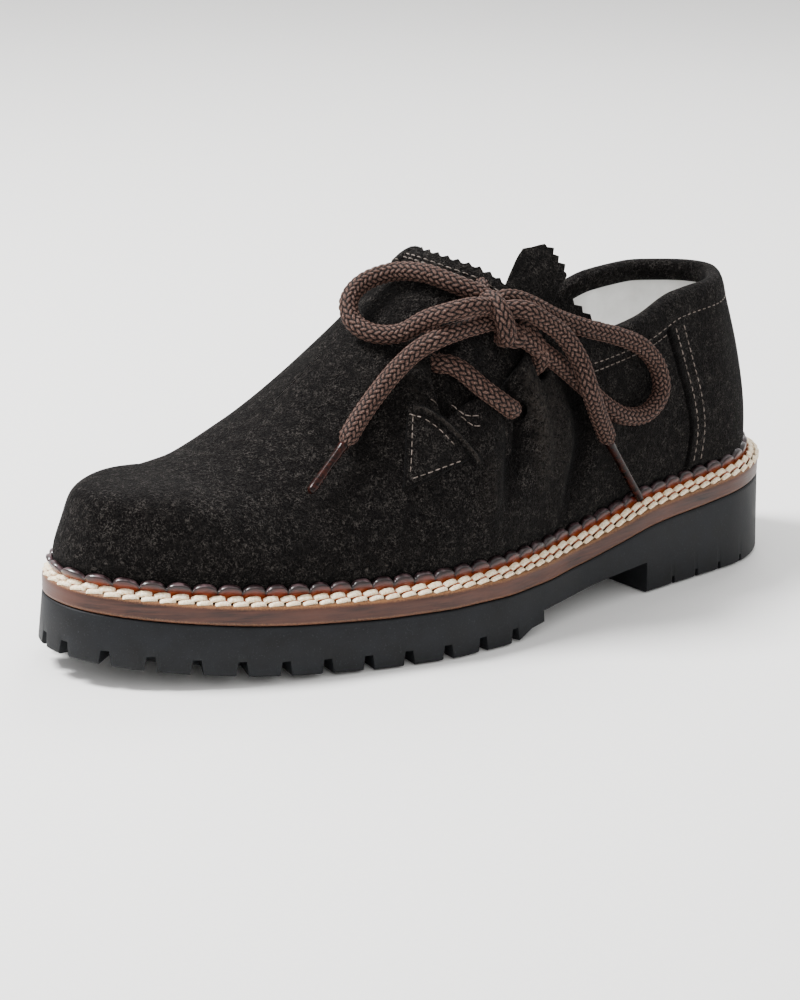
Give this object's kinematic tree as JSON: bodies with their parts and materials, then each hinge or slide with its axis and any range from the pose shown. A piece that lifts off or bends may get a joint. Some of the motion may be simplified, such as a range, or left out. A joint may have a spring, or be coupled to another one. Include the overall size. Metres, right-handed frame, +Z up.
{
  "type": "haferl shoe",
  "caption": "Low suede folk shoe for the left foot, laced on its lateral side, with a scalloped welt, leather midsole and lugged rubber sole.",
  "frame": {"origin": "on the floor, under the middle of the outsole's plan", "axes": "+X to the toe, +Y to the lateral side, which is the wearer's left, +Z up"},
  "size_m": [0.3026, 0.1104, 0.1233],
  "materials": {
    "rubber": "matt moulded black rubber",
    "midsole_leather": "burnished brown edge",
    "welt_leather": "glossy reddish brown",
    "suede": "napped very dark brown suede",
    "lining": "smooth light grey lining leather",
    "lace": "round braided brown cord",
    "aglet": "glossy brown shrunk tip"
  },
  "bodies": {
    "root": {"outsole": "rubber", "midsole": "midsole_leather", "insole": "lining", "welt": "welt_leather", "upper": "suede", "tongue": "suede", "lace_bar": "lace", "lace_knot": "lace", "lace_loop_left": "lace", "lace_loop_right": "lace", "lace_tail_left": "lace", "lace_tail_right": "lace", "aglet_left": "aglet", "aglet_right": "aglet"}
  },
  "joints": []
}
